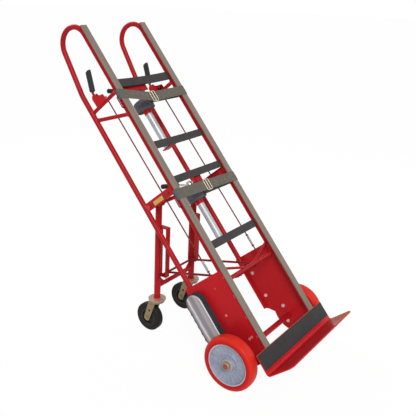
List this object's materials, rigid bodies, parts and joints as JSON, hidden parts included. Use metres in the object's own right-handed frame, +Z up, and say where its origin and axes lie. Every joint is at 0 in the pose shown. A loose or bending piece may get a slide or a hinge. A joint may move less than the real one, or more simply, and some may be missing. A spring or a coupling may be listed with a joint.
{
  "type": "appliance hand truck",
  "caption": "Leaning appliance hand truck with hooped handles, strap winders, stair climbers, large main wheels and a folding swivel-caster carriage.",
  "frame": {"origin": "on the floor under the middle of the truck's overall box", "axes": "+Z up, +Y towards the casters, +X across the truck along the axle"},
  "size_m": [0.71, 1.399, 1.5048],
  "materials": {
    "red_paint": "gloss red enamel",
    "strip_facing": "dull khaki facing strip",
    "black_pad": "charcoal padded rubber",
    "nose_face": "ribbed black rubber",
    "wheel_tread": "orange-red cushion tread",
    "wheel_hub": "blue-grey moulded hub",
    "plated_steel": "bright zinc plate",
    "fork_zinc": "yellow zinc plate",
    "cover_metal": "brushed pressed cover",
    "belt_rubber": "black cleated belt",
    "shoe_plastic": "dark slide shoe",
    "webbing": "grey woven webbing",
    "grip_rubber": "black moulded grip",
    "label_metal": "bare gold plate",
    "caster_tread": "black caster tread",
    "caster_core": "black caster core",
    "steel_wire": "dull steel"
  },
  "bodies": {
    "frame": {"axle": "red_paint", "brake_cables": "steel_wire", "cable_springs": "steel_wire", "carriage_shaft": "plated_steel", "climber_belts": "belt_rubber", "climber_covers": "cover_metal", "climber_shoes": "shoe_plastic", "cross_member": "red_paint", "crossbar_pads": "black_pad", "crossbars": "red_paint", "frame_fasteners": "plated_steel", "label_plate": "label_metal", "left_handle_tube": "red_paint", "left_pivot_plate": "red_paint", "left_rail_strip": "strip_facing", "left_side_plate": "red_paint", "lever_brackets": "red_paint", "lower_strap": "webbing", "nose_plate": "red_paint", "nose_rubber": "nose_face", "rails": "red_paint", "right_handle_tube": "red_paint", "right_pivot_plate": "red_paint", "right_rail_strip": "strip_facing", "right_side_plate": "red_paint", "side_struts": "red_paint", "strap_buckles": "plated_steel", "upper_strap": "webbing", "winder_barrels": "plated_steel", "winder_brackets": "red_paint", "winder_collars": "red_paint", "wire_guides": "steel_wire"},
    "left_wheel": {"left_tyre": "wheel_tread", "left_hub": "wheel_hub"},
    "right_wheel": {"right_tyre": "wheel_tread", "right_hub": "wheel_hub"},
    "carriage": {"left_carriage_leg": "red_paint", "right_carriage_leg": "red_paint", "carriage_brace": "red_paint", "caster_plates": "plated_steel"},
    "brace": {"brace_link": "steel_wire"},
    "left_caster": {"left_caster_fork": "fork_zinc"},
    "right_caster": {"right_caster_fork": "fork_zinc"},
    "left_caster_wheel": {"left_caster_tyre": "caster_tread", "left_caster_hub": "caster_core"},
    "right_caster_wheel": {"right_caster_tyre": "caster_tread", "right_caster_hub": "caster_core"},
    "left_lever": {"left_brake_lever": "red_paint", "left_lever_grip": "grip_rubber"},
    "right_lever": {"right_brake_lever": "red_paint", "right_lever_grip": "grip_rubber"},
    "upper_winder": {"upper_spool": "plated_steel", "upper_webbing_roll": "webbing"},
    "lower_winder": {"lower_spool": "plated_steel", "lower_webbing_roll": "webbing"},
    "upper_handle": {"upper_ratchet_handle": "plated_steel", "upper_ratchet_grip": "grip_rubber"},
    "lower_handle": {"lower_ratchet_handle": "plated_steel", "lower_ratchet_grip": "grip_rubber"}
  },
  "joints": [
    {"name": "left_wheel_spin", "type": "hinge", "parent": "frame", "child": "left_wheel", "pos_m": [-0.31325, -0.40722, 0.127], "axis": [1, 0, 0], "continuous": true},
    {"name": "left_caster_swivel", "type": "hinge", "parent": "carriage", "child": "left_caster", "pos_m": [-0.142, 0.14658, 0.1842], "axis": [0, 0, 1], "continuous": true},
    {"name": "left_caster_spin", "type": "hinge", "parent": "left_caster", "child": "left_caster_wheel", "pos_m": [-0.142, 0.19358, 0.0735], "axis": [1, 0, 0], "continuous": true},
    {"name": "left_brake_pull", "type": "hinge", "parent": "frame", "child": "left_lever", "pos_m": [-0.2095, 0.46047, 1.16388], "axis": [-1, 0, 0], "range_deg": [0, 20], "stiffness_Nm_per_rad": 3, "springref_deg": -8.59},
    {"name": "right_wheel_spin", "type": "hinge", "parent": "frame", "child": "right_wheel", "pos_m": [0.31325, -0.40722, 0.127], "axis": [1, 0, 0], "continuous": true},
    {"name": "right_caster_swivel", "type": "hinge", "parent": "carriage", "child": "right_caster", "pos_m": [0.142, 0.14658, 0.1842], "axis": [0, 0, 1], "continuous": true},
    {"name": "right_caster_spin", "type": "hinge", "parent": "right_caster", "child": "right_caster_wheel", "pos_m": [0.142, 0.19358, 0.0735], "axis": [1, 0, 0], "continuous": true},
    {"name": "right_brake_pull", "type": "hinge", "parent": "frame", "child": "right_lever", "pos_m": [0.2095, 0.46047, 1.16388], "axis": [-1, 0, 0], "range_deg": [0, 20], "stiffness_Nm_per_rad": 3, "springref_deg": -8.59},
    {"name": "carriage_fold", "type": "hinge", "parent": "frame", "child": "carriage", "pos_m": [0, 0.13713, 0.69302], "axis": [-1, 0, 0], "range_deg": [0, 40]},
    {"name": "brace_swing", "type": "hinge", "parent": "carriage", "child": "brace", "pos_m": [0, 0.11809, 0.32281], "axis": [1, 0, 0], "range_deg": [0, 80]},
    {"name": "upper_winder_turn", "type": "hinge", "parent": "frame", "child": "upper_winder", "pos_m": [0, 0.33467, 1.09773], "axis": [0, 0.6361, 0.7716], "continuous": true},
    {"name": "upper_ratchet_swing", "type": "hinge", "parent": "frame", "child": "upper_handle", "pos_m": [0, 0.33467, 1.09773], "axis": [0, 0.6361, 0.7716], "range_deg": [-60, 45]},
    {"name": "lower_winder_turn", "type": "hinge", "parent": "frame", "child": "lower_winder", "pos_m": [0, 0.00841, 0.70194], "axis": [0, 0.6361, 0.7716], "continuous": true},
    {"name": "lower_ratchet_swing", "type": "hinge", "parent": "frame", "child": "lower_handle", "pos_m": [0, 0.00841, 0.70194], "axis": [0, 0.6361, 0.7716], "range_deg": [-60, 45]}
  ],
  "couplings": [
    {"joint": "brace_swing", "follows": "carriage_fold", "ratio": 2}
  ]
}
